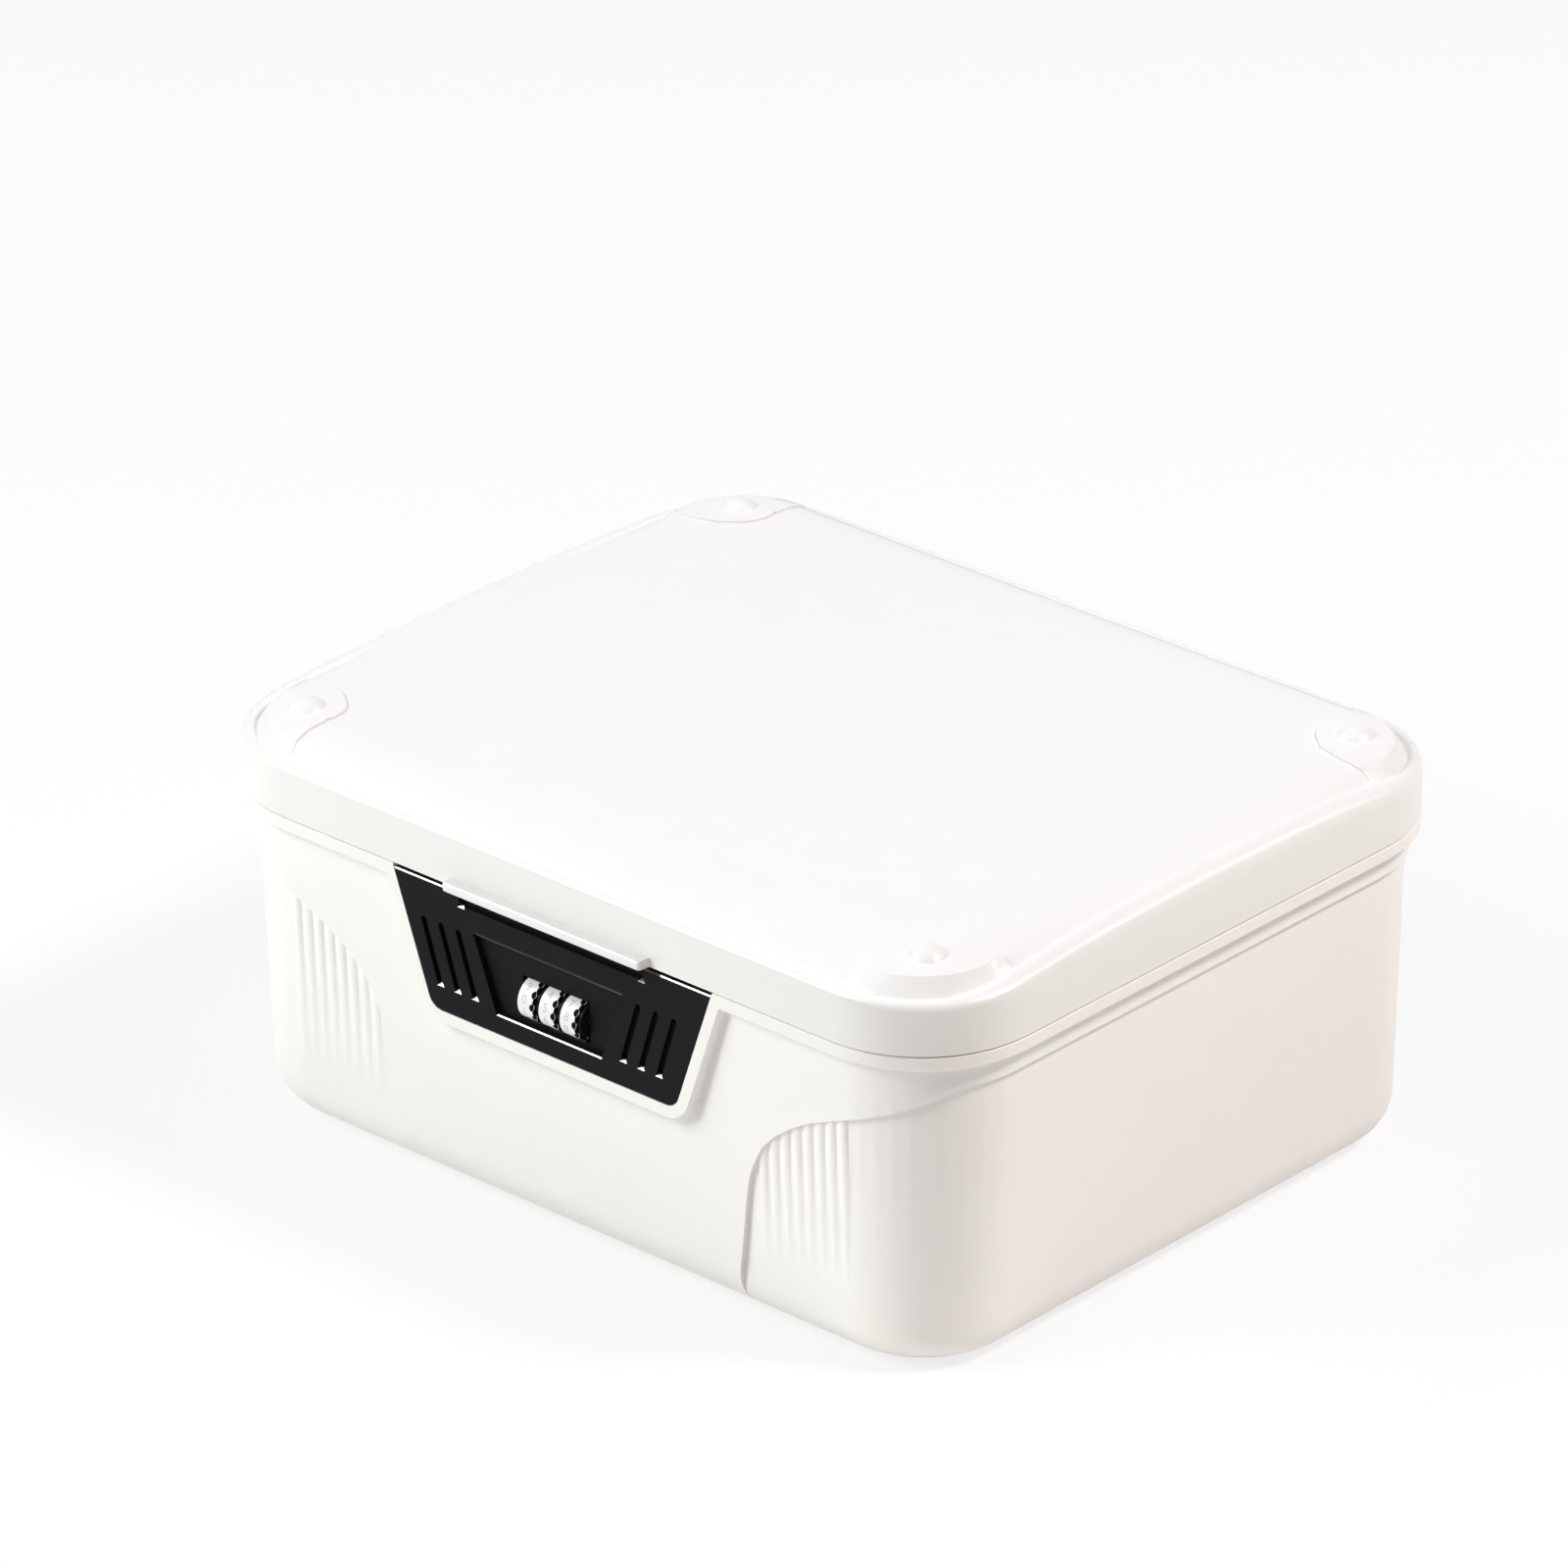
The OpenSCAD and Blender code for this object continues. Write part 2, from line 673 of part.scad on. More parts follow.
module lock_panel() {
    color([0.1, 0.1, 0.11])
    difference() {
        union() {
            upright(pocket_y - 0.05, plate_t - 0.05)
                plaque_2d(plate_edge(plate_top), plate_top, plate_low, plate_r - plate_gap);
            for (x = [-screw_x, screw_x], z = screw_zs)
                rod_y(x, housing_y - 0.3, z, boss_r, housing_y - 0.3 - pocket_y + 1);
        }
        translate([pattern_x, 0, 0]) {
            recess();
            for (k = [0:2], m = [0, 1])
                mirror([m, 0, 0])
                    side_slot(slot_x + k * slot_step);
        }
        upright(front_y + scoop_depth, cut_l)
            polygon([
                [-scoop_hw + 1.5, scoop_low], [scoop_hw - 1.5, scoop_low],
                [scoop_hw, scoop_low + 1.5], [scoop_hw, plate_top + 1],
                [-scoop_hw, plate_top + 1], [-scoop_hw, scoop_low + 1.5]
            ]);
        for (s = [-1, 1])
            glint_facet(s * (scoop_hw - 1), scoop_low - 0.7);
        translate([0, front_y, plate_top - edge_cut])
            rotate([45, 0, 0])
                translate([-plate_hw - 5, -2, 0])
                    cube([2 * plate_hw + 10, 4, 3]);
        // Narrow facet along the lower edge of the recess
        translate([pattern_x, front_y, recess_low - ledge_cut])
            rotate([45, 0, 0])
                translate([-recess_hw_low, -2, 0])
                    cube([2 * recess_hw_low, 4, 0.8]);
        // Steep chamfer along the upper edge of the recess
        translate([pattern_x, front_y, recess_top + crest_h])
            rotate([crest_turn - 90, 0, 0])
                translate([-recess_hw_top, -2, -0.8])
                    cube([2 * recess_hw_top, 4, 0.8]);
        rod_x(-relief_hx, relief_hx, dial_y, dial_z, relief_r);
        // Sloping lip under each dial
        for (k = [-1:1])
            translate([k * dial_pitch, front_y + recess_shallow, lip_z])
                rotate([lip_turn, 0, 0])
                    translate([-dial_w / 2, -1, 0])
                        cube([dial_w, 3, 1.5]);
        // Room for the housing ears, the shaft with its clip, and the reset arm
        for (s = [-1, 1])
            block(s * ear_x - ear_t / 2 - ear_gap, s * ear_x + ear_t / 2 + ear_gap,
                ear_y - ear_gap, pocket_y + 1, dial_z - ear_hz - ear_gap, dial_z + ear_hz + ear_gap);
        rod_x(shaft_left - ear_gap, shaft_right + reset_travel + ear_gap, dial_y, dial_z, shaft_r + 0.25);
        block(shaft_left - ear_gap, shaft_right + reset_travel + ear_gap,
            dial_y, pocket_y + 1, dial_z - shaft_r - 0.25, dial_z + shaft_r + 0.25);
        rod_x(shaft_left - ear_gap, clip_end, dial_y, dial_z, clip_r + 0.25);
        block(shaft_left - ear_gap, clip_end, dial_y, pocket_y + 1,
            dial_z - clip_r - 0.25, dial_z + clip_r + 0.25);
        block(arm_x - ear_gap, arm_x + arm_w + reset_travel + ear_gap,
            arm_y - 0.25, pocket_y + 1, dial_z - arm_end_hz - ear_gap, dial_z + arm_end_hz + ear_gap);
        for (x = [-screw_x, screw_x], z = screw_zs)
            rod_y(x, housing_y, z, screw_r + 0.05, housing_screw_l - 1.9);
    }
}

module lock_housing() {
    color([0.2, 0.2, 0.22])
    difference() {
        union() {
            block(-flange_hx, flange_hx, housing_y, housing_y + flange_t, flange_low, flange_top);
            block(-wall_out, wall_out, housing_y, housing_back, wall_low, wall_top);
            for (x = [-post_x, post_x], z = post_zs)
                rod_y(x, housing_back, z, post_r, housing_back - housing_y);
            for (s = [-1, 1])
                block(s * ear_x - ear_t / 2, s * ear_x + ear_t / 2,
                    ear_y, housing_y + 1, dial_z - ear_hz, dial_z + ear_hz);
        }
        difference() {
            block(-wall_in, wall_in, housing_y - 1, housing_back + 1,
                wall_low + wall_t, bolt_z + bolt_t + slide_gap);
            for (s = [-1, 1]) {
                block(s * 14.9 - 0.9, s * 14.9 + 0.9, housing_y - 2, housing_back + 2,
                    bolt_z - 2.2, bolt_z - slide_gap);
                block(s * ear_x - ear_t / 2, s * ear_x + ear_t / 2,
                    housing_y - 2, housing_y + flange_t, dial_z - ear_hz, dial_z + ear_hz);
            }
        }
        rod_x(-wall_out - 1, wall_out + 1, dial_y, dial_z, shaft_r + run_gap);
        block(arm_x - 0.7, arm_x + arm_w + reset_travel + 2, housing_y - 1, housing_y + flange_t + 1,
            dial_z - 2.6, dial_z + 2.6);
        for (x = [-screw_x, screw_x], z = screw_zs)
            rod_y(x, housing_y + flange_t + 1, z, screw_r + 0.15, flange_t + 2);
        for (x = [-post_x, post_x], z = post_zs)
            rod_y(x, housing_back + 1, z, cover_screw_r + 0.05, 9);
    }
}

module lock_cover() {
    cover_y = housing_back + 0.05;
    color([0.72, 0.73, 0.75])
    difference() {
        union() {
            block(-wall_out, wall_out, cover_y, cover_y + cover_t, wall_low, wall_top);
            for (x = [-post_x, post_x], z = post_zs)
                rod_y(x, cover_y + cover_t, z, post_r, cover_t);
        }
        block(-nose_hx - slide_gap, nose_hx + slide_gap, cover_y - 1, cover_y + cover_t + 1,
            bolt_z - slide_gap, bolt_z + bolt_t + slide_gap);
        for (x = [-post_x, post_x], z = post_zs)
            rod_y(x, cover_y + cover_t + 1, z, cover_screw_r + 0.1, cover_t + 2);
    }
}

// Wheel with finger bites along its right-hand edge.
module dial_wheel(x) {
    bite_r = 1.4;
    color([0.95, 0.95, 0.93])
    translate([x, dial_y, dial_z])
        rotate([0, 90, 0])
            difference() {
                translate([0, 0, -dial_w / 2])
                    cylinder(r = dial_r, h = dial_w);
                translate([0, 0, -dial_w])
                    cylinder(r = sleeve_r + 0.05, h = 2 * dial_w);
                for (k = [0:dial_count - 1])
                    rotate([0, 0, (k + 0.5) * 360 / dial_count])
                        translate([dial_r + 0.3, 0, dial_w / 2 + 0.3])
                            sphere(r = bite_r, $fn = 24);
            }
}

module code_sleeve(x) {
    color([0.2, 0.2, 0.22])
    difference() {
        union() {
            rod_x(x - dial_w / 2 + 0.1, x + cam_x + cam_t, dial_y, dial_z, sleeve_r);
            rod_x(x + cam_x, x + cam_x + cam_t, dial_y, dial_z, cam_r);
        }
        rod_x(x - dial_w, x + 2 * dial_w, dial_y, dial_z, shaft_r + run_gap);
        translate([x + cam_x - 1, dial_y, dial_z])
            rotate([-gate_turn, 0, 0])
                block(0, 4, -0.8, 0.8, cam_r - 1.2, cam_r + 2);
    }
}

module dial_shaft() {
    color([0.7, 0.71, 0.73])
    difference() {
        rod_x(shaft_left, shaft_right, dial_y, dial_z, shaft_r);
        difference() {
            rod_x(shaft_left + 0.6, shaft_left + 1.5, dial_y, dial_z, shaft_r + 1);
            rod_x(shaft_left, shaft_left + 2, dial_y, dial_z, shaft_r - 0.4);
        }
    }
}

module shaft_clip() {
    color([0.55, 0.56, 0.58])
    difference() {
        rod_x(shaft_left + 0.65, shaft_left + 1.45, dial_y, dial_z, clip_r);
        rod_x(shaft_left, shaft_left + 2, dial_y, dial_z, shaft_r - 0.35);
        block(shaft_left, shaft_left + 2, dial_y - 1.2, dial_y + 1.2, dial_z - 4, dial_z);
    }
}

module reset_arm() {
    color([0.2, 0.2, 0.22])
    difference() {
        union() {
            block(arm_x, arm_x + arm_w, arm_y, arm_back, dial_z - arm_hz, dial_z + arm_hz);
            block(arm_x, arm_x + arm_w, arm_y, arm_y + arm_end_l, dial_z - arm_end_hz, dial_z + arm_end_hz);
            block(arm_x, arm_x + arm_w, arm_back - 3, arm_back, dial_z - thumb_hz, dial_z + thumb_hz);
        }
        rod_x(arm_x - 1, arm_x + arm_w + 1, dial_y, dial_z, shaft_r + 0.02);
    }
}

module latch_bolt() {
    color([0.7, 0.71, 0.73])
    union() {
        block(-bolt_hx, bolt_hx, bolt_front, bolt_front + bolt_w, bolt_z, bolt_z + bolt_t);
        block(-nose_hx, nose_hx, bolt_front, nose_tip, bolt_z, bolt_z + bolt_t);
        for (k = [-1:1])
            translate([k * dial_pitch + cam_x + cam_t / 2, 0, 0]) {
                block(-finger_t / 2, finger_t / 2, finger_y, finger_y + finger_l,
                    finger_low, bolt_z - slide_gap);
                block(-finger_t / 2, finger_t / 2, bolt_front, finger_y + finger_l,
                    finger_low, bolt_z + bolt_t / 2);
            }
    }
}

module bolt_spring() {
    color([0.6, 0.61, 0.63])
        block(-wall_out - 1, wall_out + 1, housing_y - 0.45, housing_y - 0.05,
            bolt_z + slide_gap, bolt_z + bolt_t - slide_gap);
}

module detent_spring() {
    spring_t = 0.5;
    rise = 3.4;
    run = 12.3;
    lean = atan(rise / run);
    floor_z = wall_low + wall_t + 0.05;
    color([0.75, 0.62, 0.35])
    union() {
        block(-12, 12, housing_back - 5, housing_back - 0.6, floor_z, floor_z + spring_t);
        for (k = [-1:1])
            translate([k * dial_pitch, housing_back - 2.6, floor_z])
                rotate([-lean, 0, 0]) {
                    block(-2.4, 2.4, -run, 0, 0, spring_t);
                    rod_x(-2.4, 2.4, -run, spring_t / 2 + 0.1, 0.45);
                }
    }
}

module lid_striker() {
    color([0.72, 0.73, 0.75])
    difference() {
        block(-striker_hx, striker_hx, striker_y, striker_y + striker_t - 0.05, striker_low, striker_top);
        block(-nose_hx - nose_gap, nose_hx + nose_gap, striker_y - 1, striker_y + striker_t + 1,
            bolt_z - nose_gap, bolt_z + bolt_t + nose_gap);
        for (x = [-striker_screw_x, striker_screw_x])
            rod_y(x, striker_y + striker_t + 1, striker_screw_z, screw_r + 0.15, 5);
    }
}

// Pan-head screw along -Y or +Y with a cross cut into its head.
module screw(x, y, z, dir, r, length, hr, ht) {
    translate([x, y, z])
        rotate([dir * 90, 0, 0])
            difference() {
                union() {
                    cylinder(r = r, h = length);
                    translate([0, 0, -ht])
                        cylinder(r = hr, h = ht);
                }
                for (a = [0, 90])
                    rotate([0, 0, a])
                        translate([-hr * 0.55, -0.3, -ht - 0.1])
                            cube([hr * 1.1, 0.6, ht * 0.6]);
            }
}

module striker_screws() {
    color([0.6, 0.61, 0.63])
    for (x = [-striker_screw_x, striker_screw_x])
        screw(x, striker_y - 0.05, striker_screw_z, -1, screw_r, striker_screw_l, head_r - 0.2, 1.2);
}

module housing_screws() {
    color([0.6, 0.61, 0.63])
    for (x = [-screw_x, screw_x], z = screw_zs)
        screw(x, housing_y + flange_t + 0.05, z, 1, screw_r, housing_screw_l, head_r, head_t);
}

module cover_screws() {
    color([0.6, 0.61, 0.63])
    for (x = [-post_x, post_x], z = post_zs)
        screw(x, housing_back + cover_t + 0.1, z, 1, cover_screw_r, cover_screw_l, 2, 1.1);
}

module hinge_pins() {
    color([0.7, 0.71, 0.73])
    for (s = [-1, 1])
        rod_x(s * hinge_x - pin_hl, s * hinge_x + pin_hl, hinge_y, hinge_z, pin_r);
}

module feet() {
    color([0.25, 0.25, 0.26])
    for (x = [-foot_x, foot_x], y = [-foot_y, foot_y])
        translate([x, y, 0])
            cylinder(r = foot_r, h = foot_h);
}

base_shell();
lid_shell();
lock_panel();
lock_housing();
lock_cover();
dial_wheel(-dial_pitch);  // dial_wheel_1
dial_wheel(0);  // dial_wheel_2
dial_wheel(dial_pitch);  // dial_wheel_3
code_sleeve(-dial_pitch);  // code_sleeve_1
code_sleeve(0);  // code_sleeve_2
code_sleeve(dial_pitch);  // code_sleeve_3
dial_shaft();
shaft_clip();
reset_arm();
latch_bolt();
bolt_spring();
detent_spring();
lid_striker();
striker_screws();
housing_screws();
cover_screws();
hinge_pins();
feet();
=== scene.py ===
import math

import bmesh
import bpy
from mathutils import Matrix, Vector


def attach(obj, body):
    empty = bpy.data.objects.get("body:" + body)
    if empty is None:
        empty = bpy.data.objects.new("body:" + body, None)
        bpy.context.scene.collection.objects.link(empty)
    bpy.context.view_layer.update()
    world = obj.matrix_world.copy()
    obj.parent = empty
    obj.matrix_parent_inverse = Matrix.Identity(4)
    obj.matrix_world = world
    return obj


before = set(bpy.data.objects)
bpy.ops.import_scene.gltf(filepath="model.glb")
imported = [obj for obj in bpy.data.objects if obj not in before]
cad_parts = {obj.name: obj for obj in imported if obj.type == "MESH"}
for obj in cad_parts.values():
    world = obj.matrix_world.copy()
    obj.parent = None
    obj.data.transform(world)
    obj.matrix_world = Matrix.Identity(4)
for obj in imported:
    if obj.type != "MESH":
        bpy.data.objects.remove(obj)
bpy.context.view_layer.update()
MM = 0.001


class Shader:
    """A node material with the few nodes that every finish here uses."""

    def __init__(self, name):
        self.mat = bpy.data.materials.new(name)
        self.mat.use_nodes = True
        self.tree = self.mat.node_tree
        self.bsdf = next(n for n in self.tree.nodes if n.type == "BSDF_PRINCIPLED")
        self.coords = self.tree.nodes.new("ShaderNodeTexCoord").outputs["Object"]

    def link(self, out, socket):
        self.tree.links.new(out, socket)

    def noise(self, scale, detail, rough=0.5, stretch=None):
        node = self.tree.nodes.new("ShaderNodeTexNoise")
        node.inputs["Scale"].default_value = scale
        node.inputs["Detail"].default_value = detail
        node.inputs["Roughness"].default_value = rough
        if stretch is None:
            self.link(self.coords, node.inputs["Vector"])
        else:
            mapping = self.tree.nodes.new("ShaderNodeMapping")
            mapping.inputs["Scale"].default_value = stretch
            self.link(self.coords, mapping.inputs["Vector"])
            self.link(mapping.outputs["Vector"], node.inputs["Vector"])
        return node.outputs["Fac"]

    def remap(self, value, low, high, out_low, out_high):
        node = self.tree.nodes.new("ShaderNodeMapRange")
        node.inputs["From Min"].default_value = low
        node.inputs["From Max"].default_value = high
        node.inputs["To Min"].default_value = out_low
        node.inputs["To Max"].default_value = out_high
        self.link(value, node.inputs["Value"])
        return node.outputs["Result"]

    def mix(self, factor, first, second):
        node = self.tree.nodes.new("ShaderNodeMix")
        node.data_type = "RGBA"
        self.link(factor, node.inputs["Factor"])
        for socket, value in ((node.inputs[6], first), (node.inputs[7], second)):
            if isinstance(value, tuple):
                socket.default_value = (*value, 1.0)
            else:
                self.link(value, socket)
        return node.outputs[2]

    def bump(self, height, distance, strength):
        node = self.tree.nodes.new("ShaderNodeBump")
        node.inputs["Distance"].default_value = distance
        node.inputs["Strength"].default_value = strength
        self.link(height, node.inputs["Height"])
        return node.outputs["Normal"]


def moulded_plastic(name, colour, shade, roughness, grain=0.00003, spec=0.5):
    """Satin moulded plastic: spark-eroded grain, faint flow marks and uneven gloss."""
    s = Shader(name)
    patches = s.noise(70.0, 2.0, 0.4)
    s.link(s.mix(s.remap(patches, 0.25, 0.75, 0.0, 1.0), colour, shade), s.bsdf.inputs["Base Color"])
    gloss = s.noise(38.0, 2.0, 0.4)
    s.link(s.remap(gloss, 0.2, 0.8, roughness - 0.03, roughness + 0.03), s.bsdf.inputs["Roughness"])
    s.bsdf.inputs["Specular IOR Level"].default_value = spec
    fine = s.noise(2600.0, 2.0, 0.6)
    s.link(s.bump(fine, grain, 0.6), s.bsdf.inputs["Normal"])
    return s.mat


def brushed_metal(name, colour, shade, roughness, stretch):
    """Rolled or drawn metal with fine lines along one way."""
    s = Shader(name)
    lines = s.noise(900.0, 3.0, 0.6, stretch)
    patches = s.noise(60.0, 2.0, 0.4)
    s.link(s.mix(s.remap(patches, 0.25, 0.75, 0.0, 1.0), colour, shade), s.bsdf.inputs["Base Color"])
    s.link(s.remap(lines, 0.3, 0.7, roughness - 0.08, roughness + 0.1), s.bsdf.inputs["Roughness"])
    s.bsdf.inputs["Metallic"].default_value = 1.0
    s.link(s.bump(lines, 0.00002, 0.5), s.bsdf.inputs["Normal"])
    return s.mat


def soft_rubber(name, colour, shade):
    s = Shader(name)
    grain = s.noise(1500.0, 4.0, 0.7)
    s.link(s.mix(s.remap(grain, 0.3, 0.7, 0.0, 1.0), colour, shade), s.bsdf.inputs["Base Color"])
    s.link(s.remap(grain, 0.3, 0.7, 0.75, 0.9), s.bsdf.inputs["Roughness"])
    s.link(s.bump(grain, 0.00005, 0.5), s.bsdf.inputs["Normal"])
    return s.mat


LID_WHITE = moulded_plastic("lid_plastic", (0.822, 0.813, 0.793), (0.817, 0.808, 0.787), 0.3, 0.000012)
SHELL_WHITE = moulded_plastic("shell_plastic", (0.876, 0.862, 0.834), (0.869, 0.854, 0.826), 0.46)
PANEL_BLACK = moulded_plastic("panel_plastic", (0.006, 0.006, 0.007), (0.008, 0.008, 0.009), 0.5, spec=0.07)
# Smoother copy of the panel black for faces that look down at the front; its colour is painted lighter as a
# highlight
PANEL_CREST_SHEEN = moulded_plastic("panel_crest_sheen", (0.015, 0.015, 0.017), (0.018, 0.018, 0.02), 0.3, spec=0.2)
# Glossier copy of the panel black for facets that look up; its colour is painted lighter as a highlight
PANEL_FACET_GLINT = moulded_plastic(
    "panel_facet_glint", (0.03, 0.03, 0.032), (0.035, 0.035, 0.037), 0.14, 0.000002, spec=1.0
)
DIAL_WHITE = moulded_plastic("dial_plastic", (0.85, 0.85, 0.84), (0.82, 0.82, 0.81), 0.3, 0.00001)
HUB_BLACK = moulded_plastic("hub_plastic", (0.006, 0.006, 0.006), (0.008, 0.008, 0.008), 0.5, spec=0.1)
DIGIT_GREY = moulded_plastic("digit_ink", (0.52, 0.52, 0.52), (0.6, 0.6, 0.6), 0.5, 0.00001)
HOUSING_GREY = moulded_plastic("housing_plastic", (0.02, 0.02, 0.022), (0.026, 0.026, 0.028), 0.5, spec=0.3)
STEEL = brushed_metal("rolled_steel", (0.6, 0.61, 0.63), (0.52, 0.53, 0.55), 0.3, (1.0, 0.06, 1.0))
BRASS = brushed_metal("drawn_brass", (0.66, 0.5, 0.26), (0.58, 0.43, 0.2), 0.32, (0.06, 1.0, 1.0))
RUBBER = soft_rubber("foot_rubber", (0.03, 0.03, 0.032), (0.045, 0.045, 0.047))

FINISH = {
    "lid_shell": LID_WHITE,
    "base_shell": SHELL_WHITE,
    "lock_panel": PANEL_BLACK,
    "lock_housing": HOUSING_GREY,
    "reset_arm": HOUSING_GREY,
    "feet": RUBBER,
    "detent_spring": BRASS,
}
# Rounding of sharp edges in millimetres; the other nodes keep crisp edges
EDGE = {"lock_panel": 0.2}
for number in (1, 2, 3):
    FINISH[f"dial_wheel_{number}"] = DIAL_WHITE
    FINISH[f"code_sleeve_{number}"] = HUB_BLACK
    EDGE[f"dial_wheel_{number}"] = 0.25


def second_finish(name, mesh):
    """Facets of the panel that look up are glossier and painted a lighter black as a highlight, its crest
    is smoother and painted a lighter black as a highlight, and the dial's sides and the bevel on their
    right are painted dark as shade.
    """
    if name == "lock_panel":
        mesh.materials.append(PANEL_FACET_GLINT)
        mesh.materials.append(PANEL_CREST_SHEEN)
        for face in mesh.polygons:
            n = face.normal
            if n.z > 0.5 and n.y < -0.3:
                face.material_index = 1
            elif n.z < -0.3 and n.y < -0.85:
                face.material_index = 2
    elif name.startswith("dial_wheel"):
        # The dial's flat sides and the bevel on its right side are painted hub black as shade
        mesh.materials.append(HUB_BLACK)
        for face in mesh.polygons:
            face.material_index = int(face.normal.x > 0.3 or face.normal.x < -0.9)


JOIN = 0.002 * MM
EDGE_ANGLE = math.radians(38)
CREASE_ANGLE = math.radians(35)


def dress(name, node):
    """Gives a CAD node its finish and joined, smooth faces; sharp edges get a small rounding where one is
    given, else a crease.
    """
    mesh = node.data
    with bpy.context.temp_override(object=node, active_object=node, selected_objects=[node]):
        bpy.ops.mesh.customdata_custom_splitnormals_clear()
    mesh.materials.clear()
    mesh.materials.append(FINISH.get(name, STEEL))
    second_finish(name, mesh)
    for face in mesh.polygons:
        face.use_smooth = True
    weld = node.modifiers.new("join", "WELD")
    weld.merge_threshold = JOIN
    if name in EDGE:
        bevel = node.modifiers.new("edge", "BEVEL")
        bevel.width = EDGE[name] * MM
        bevel.segments = 2
        bevel.limit_method = "ANGLE"
        bevel.angle_limit = EDGE_ANGLE
        bevel.harden_normals = True
    else:
        split = node.modifiers.new("crease", "EDGE_SPLIT")
        split.split_angle = CREASE_ANGLE


for name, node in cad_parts.items():
    dress(name, node)


def place(name, bm, body, finish):
    """Makes an object of a mesh that is already in its place, and lets it ride on a body."""
    mesh = bpy.data.meshes.new(name)
    bm.to_mesh(mesh)
    bm.free()
    mesh.materials.append(finish)
    for face in mesh.polygons:
        face.use_smooth = True
    obj = bpy.data.objects.new(name, mesh)
    bpy.context.scene.collection.objects.link(obj)
    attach(obj, body)


# Dials: spacing, axis of the middle one, radius, and count of figures
DIAL_X = 8.5
DIAL_AXIS = Vector((0.0, -117.75, 79.9))
DIAL_R = 6.6
FIGURES = 10
# Figures: height, lift off the dial, shift to the left of its notches, and turn of the first one
FIGURE_H = 2.7
FIGURE_LIFT = 0.03
FIGURE_SHIFT = -0.45
FIGURE_TURN = math.radians(17)
# Level cuts that let a figure bend round its dial
BANDS = 10


def digit_outline(figure):
    """Flat mesh of one figure, 1 high, standing on its middle."""
    curve = bpy.data.curves.new("figure", "FONT")
    curve.body = str(figure)
    curve.align_x = "CENTER"
    curve.align_y = "CENTER"
    curve.resolution_u = 4
    obj = bpy.data.objects.new("figure", curve)
    bpy.context.scene.collection.objects.link(obj)
    mesh = bpy.data.meshes.new_from_object(obj.evaluated_get(bpy.context.evaluated_depsgraph_get()))
    bm = bmesh.new()
    bm.from_mesh(mesh)
    bpy.data.objects.remove(obj)
    bpy.data.curves.remove(curve)
    bpy.data.meshes.remove(mesh)
    low = min(v.co.y for v in bm.verts)
    high = max(v.co.y for v in bm.verts)
    middle = sum(f(v.co.x for v in bm.verts) for f in (min, max)) / 2
    for v in bm.verts:
        v.co = Vector(((v.co.x - middle) / (high - low), (v.co.y - low) / (high - low) - 0.5, 0.0))
    return bm


def dial_digits(number, first):
    """Ten figures printed round a dial; the first one looks to the front and a little up."""
    rings = bmesh.new()
    for k in range(FIGURES):
        bm = digit_outline((first + k) % FIGURES)
        for level in range(1, BANDS):
            bmesh.ops.bisect_plane(
                bm,
                geom=bm.verts[:] + bm.edges[:] + bm.faces[:],
                plane_co=(0.0, level / BANDS - 0.5, 0.0),
                plane_no=(0.0, 1.0, 0.0),
            )
        for v in bm.verts:
            turn = FIGURE_TURN + v.co.y * FIGURE_H / DIAL_R - k * math.tau / FIGURES
            reach = DIAL_R + FIGURE_LIFT
            across = (number - 2) * DIAL_X + FIGURE_SHIFT + v.co.x * FIGURE_H
            point = DIAL_AXIS + Vector((across, -reach * math.cos(turn), reach * math.sin(turn)))
            v.co = point * MM
        figure = bpy.data.meshes.new("figure")
        bm.to_mesh(figure)
        bm.free()
        rings.from_mesh(figure)
        bpy.data.meshes.remove(figure)
    bmesh.ops.remove_doubles(rings, verts=rings.verts[:], dist=0.001 * MM)
    rings.normal_update()
    for face in rings.faces:
        middle = face.calc_center_median() / MM - DIAL_AXIS
        if face.normal.y * middle.y + face.normal.z * middle.z < 0.0:
            face.normal_flip()
    place(f"dial_figures_{number}", rings, f"dial_{number}", DIGIT_GREY)


# Figure at the front of each dial
for number, first in ((1, 0), (2, 5), (3, 8)):
    dial_digits(number, first)


# Camera of the photograph: place in metres, angles in degrees, focal length in widths of the frame
CAMERA_AT = (1.8657, -2.0540, 1.4614)
YAW, PITCH, ROLL = (math.radians(v) for v in (42.532, 25.974, -0.528))
FOCAL = 10519.07 / 1600
SENSOR = 36.0


def aim_camera():
    data = bpy.data.cameras.new("camera")
    data.sensor_width = SENSOR
    data.lens = FOCAL * SENSOR
    data.clip_start = 0.1
    data.clip_end = 50.0
    cam = bpy.data.objects.new("camera", data)
    bpy.context.scene.collection.objects.link(cam)
    level = Vector((-math.sin(YAW), math.cos(YAW), 0.0))
    forward = level * math.cos(PITCH) - Vector((0.0, 0.0, math.sin(PITCH)))
    right = Vector((math.cos(YAW), math.sin(YAW), 0.0))
    up = right.cross(forward)
    across = right * math.cos(ROLL) + up * math.sin(ROLL)
    above = up * math.cos(ROLL) - right * math.sin(ROLL)
    turn = Matrix((across, above, -forward)).transposed().to_4x4()
    cam.matrix_world = Matrix.Translation(CAMERA_AT) @ turn
    bpy.context.scene.camera = cam


LIT_POINT = Vector((0.0, 0.0, 0.08))


def lamp(name, toward, distance, size, power, colour):
    """Round soft lamp that shines on the box from the given direction."""
    data = bpy.data.lights.new(name, "AREA")
    data.shape = "DISK"
    data.size = size
    data.energy = power
    data.color = colour
    obj = bpy.data.objects.new(name, data)
    bpy.context.scene.collection.objects.link(obj)
    way = Vector(toward).normalized()
    obj.location = LIT_POINT + way * distance
    obj.rotation_euler = (-way).to_track_quat("-Z", "Y").to_euler()


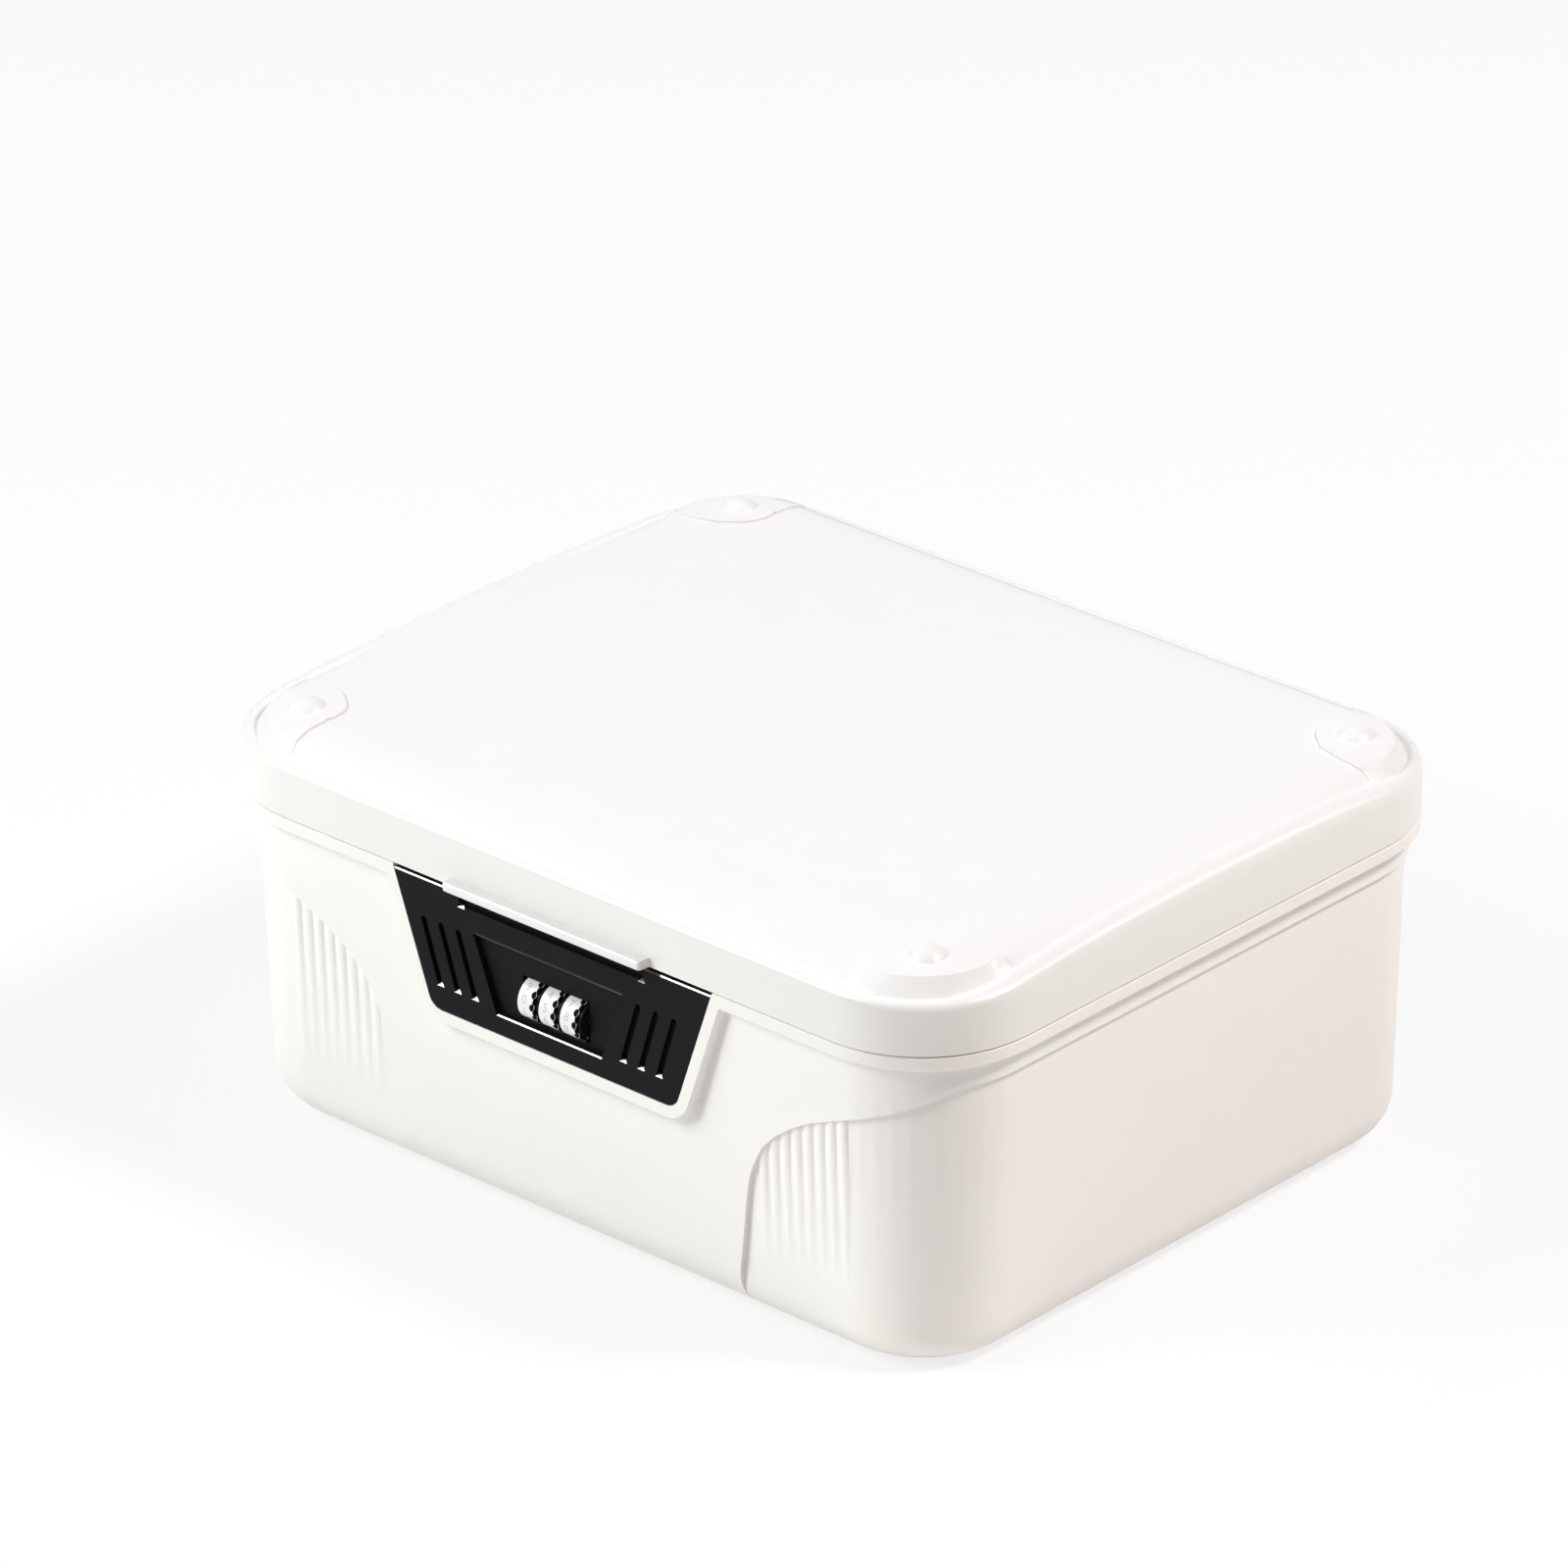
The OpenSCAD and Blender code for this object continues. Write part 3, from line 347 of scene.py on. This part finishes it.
# Name, direction from the box, distance, size, power and colour
LAMPS = [
    ("key", (-0.607, -0.438, 0.663), 3.2, 0.6, 18.0, (1.0, 1.0, 1.0)),
    ("high_front", (-0.45, -0.75, 0.62), 3.0, 1.2, 45.0, (0.99, 1.0, 1.0)),
    ("low_front", (-0.6, -0.75, 0.15), 3.0, 1.2, 15.0, (0.75, 1.0, 0.95)),
    ("side", (0.8, 0.4, 1.1), 3.0, 0.7, 59.0, (1.0, 0.965, 0.9)),
    ("ridge", (0.438, 0.663, 0.607), 3.0, 0.35, 8.0, (1.0, 1.0, 1.0)),
    ("top", (0.0, 0.1, 1.0), 3.0, 1.6, 16.0, (0.2, 0.55, 1.0)),
]
# World light on the object, and the floor's own white where the camera sees it
SKY = (0.14, 0.08, 0.06)
FLOOR_GLOW = 0.78


def camera_light(tree):
    """1 where the camera, a mirror or glass looks, and 0 for the light itself."""
    path = tree.nodes.new("ShaderNodeLightPath")
    total = path.outputs["Is Camera Ray"]
    for kind in ("Is Glossy Ray", "Is Transmission Ray"):
        add = tree.nodes.new("ShaderNodeMath")
        add.operation = "ADD"
        add.use_clamp = True
        tree.links.new(total, add.inputs[0])
        tree.links.new(path.outputs[kind], add.inputs[1])
        total = add.outputs["Value"]
    return total


def studio():
    """White paper floor, white surroundings and the lamps."""
    bm = bmesh.new()
    bmesh.ops.create_grid(bm, x_segments=8, y_segments=8, size=3.0)
    mesh = bpy.data.meshes.new("floor")
    bm.to_mesh(mesh)
    bm.free()
    floor = bpy.data.objects.new("floor", mesh)
    bpy.context.scene.collection.objects.link(floor)
    s = Shader("floor_paper")
    s.link(s.mix(s.noise(3.0, 2.0), (0.87, 0.87, 0.865), (0.86, 0.86, 0.855)), s.bsdf.inputs["Base Color"])
    s.bsdf.inputs["Roughness"].default_value = 0.9
    s.bsdf.inputs["Specular IOR Level"].default_value = 0.1
    pale = s.tree.nodes.new("ShaderNodeEmission")
    pale.inputs["Color"].default_value = (1.0, 1.0, 1.0, 1.0)
    share = s.tree.nodes.new("ShaderNodeMath")
    share.operation = "MULTIPLY"
    share.inputs[1].default_value = FLOOR_GLOW
    s.link(camera_light(s.tree), share.inputs[0])
    mixer = s.tree.nodes.new("ShaderNodeMixShader")
    s.link(share.outputs["Value"], mixer.inputs["Fac"])
    s.link(s.bsdf.outputs["BSDF"], mixer.inputs[1])
    s.link(pale.outputs["Emission"], mixer.inputs[2])
    end = next(n for n in s.tree.nodes if n.type == "OUTPUT_MATERIAL")
    s.link(mixer.outputs["Shader"], end.inputs["Surface"])
    mesh.materials.append(s.mat)

    world = bpy.data.worlds.new("studio")
    world.use_nodes = True
    tree = world.node_tree
    tree.nodes.clear()
    out = tree.nodes.new("ShaderNodeOutputWorld")
    seen = tree.nodes.new("ShaderNodeBackground")
    seen.inputs["Color"].default_value = (1.0, 1.0, 1.0, 1.0)
    given = tree.nodes.new("ShaderNodeBackground")
    given.inputs["Color"].default_value = (*SKY, 1.0)
    mixer = tree.nodes.new("ShaderNodeMixShader")
    tree.links.new(camera_light(tree), mixer.inputs["Fac"])
    tree.links.new(given.outputs["Background"], mixer.inputs[1])
    tree.links.new(seen.outputs["Background"], mixer.inputs[2])
    tree.links.new(mixer.outputs["Shader"], out.inputs["Surface"])
    bpy.context.scene.world = world

    for name, toward, distance, size, power, colour in LAMPS:
        lamp(name, toward, distance, size, power, colour)


aim_camera()
studio()
bpy.context.scene.view_settings.view_transform = "Standard"
